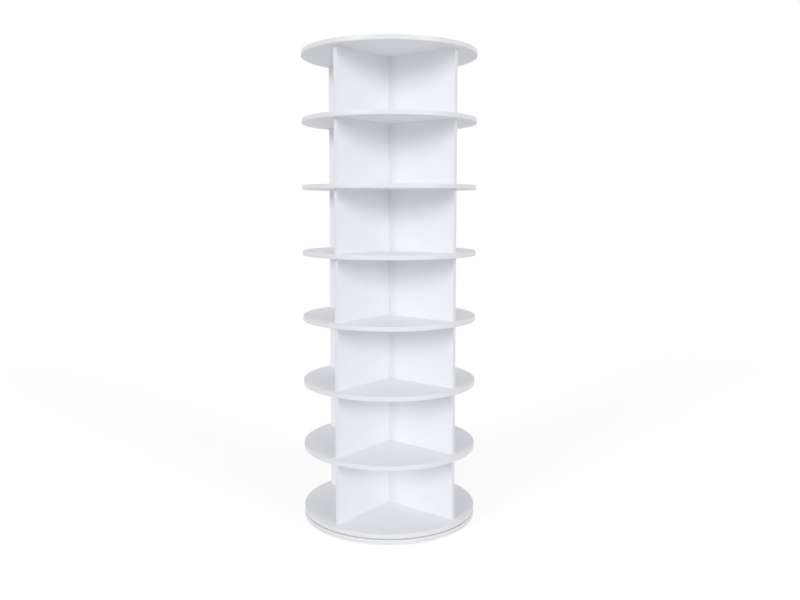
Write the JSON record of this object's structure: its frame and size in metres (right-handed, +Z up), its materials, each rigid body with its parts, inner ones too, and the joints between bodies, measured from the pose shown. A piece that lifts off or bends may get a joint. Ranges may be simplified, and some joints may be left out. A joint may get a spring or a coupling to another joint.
{
  "type": "rotating shoe tower",
  "caption": "Free-standing round shoe tower: disc shelves stacked on crossed dividers make open quarter-round compartments, and the whole stack turns on a hidden ball-bearing base.",
  "frame": {"origin": "on the floor, at the centre of the tower's turning axis, in the plane of the glides' feet", "axes": "+Z up along the turning axis; +X along the long dividers; +Y along the short dividers towards the rear ones"},
  "size_m": [0.5999, 0.6, 1.61],
  "materials": {
    "white_board": "white melamine-faced particle board, satin",
    "white_edge_band": "satin white edge band",
    "white_cap": "moulded, satin",
    "glide_plastic": "moulded, matt",
    "zinc_steel": "pressed sheet, zinc plated",
    "screw_steel": "zinc plated",
    "ball_steel": "polished",
    "cage_nylon": "natural nylon",
    "dowel_beech": "fluted beech, untreated"
  },
  "bodies": {
    "base": {"base_disc": "white_board", "base_edge_band": "white_edge_band", "base_glides": "glide_plastic", "turntable_lower_plate": "zinc_steel", "turntable_lower_screws": "screw_steel"},
    "ball_ring": {"bearing_balls": "ball_steel", "ball_cage": "cage_nylon"},
    "tower": {"turntable_upper_plate": "zinc_steel", "turntable_upper_screws": "screw_steel", "shelf_1": "white_board", "shelf_2": "white_board", "shelf_3": "white_board", "shelf_4": "white_board", "shelf_5": "white_board", "shelf_6": "white_board", "shelf_7": "white_board", "top_shelf": "white_board", "shelf_1_edge_band": "white_edge_band", "shelf_2_edge_band": "white_edge_band", "shelf_3_edge_band": "white_edge_band", "shelf_4_edge_band": "white_edge_band", "shelf_5_edge_band": "white_edge_band", "shelf_6_edge_band": "white_edge_band", "shelf_7_edge_band": "white_edge_band", "top_shelf_edge_band": "white_edge_band", "tier_1_long_divider": "white_board", "tier_1_rear_divider": "white_board", "tier_1_front_divider": "white_board", "tier_2_long_divider": "white_board", "tier_2_rear_divider": "white_board", "tier_2_front_divider": "white_board", "tier_3_long_divider": "white_board", "tier_3_rear_divider": "white_board", "tier_3_front_divider": "white_board", "tier_4_long_divider": "white_board", "tier_4_rear_divider": "white_board", "tier_4_front_divider": "white_board", "tier_5_long_divider": "white_board", "tier_5_rear_divider": "white_board", "tier_5_front_divider": "white_board", "tier_6_long_divider": "white_board", "tier_6_rear_divider": "white_board", "tier_6_front_divider": "white_board", "tier_7_long_divider": "white_board", "tier_7_rear_divider": "white_board", "tier_7_front_divider": "white_board", "divider_end_bands": "white_edge_band", "lowest_shelf_screws": "screw_steel", "shelf_screws": "screw_steel", "screw_caps": "white_cap", "shelf_dowels": "dowel_beech", "cross_dowels": "dowel_beech"}
  },
  "joints": [
    {"name": "tower_spin", "type": "hinge", "parent": "base", "child": "tower", "pos_m": [0, 0, 0.0185], "axis": [0, 0, 1], "continuous": true},
    {"name": "ball_ring_orbit", "type": "hinge", "parent": "base", "child": "ball_ring", "pos_m": [0, 0, 0.0185], "axis": [0, 0, 1], "continuous": true}
  ],
  "couplings": [
    {"joint": "ball_ring_orbit", "follows": "tower_spin", "ratio": 0.5}
  ]
}
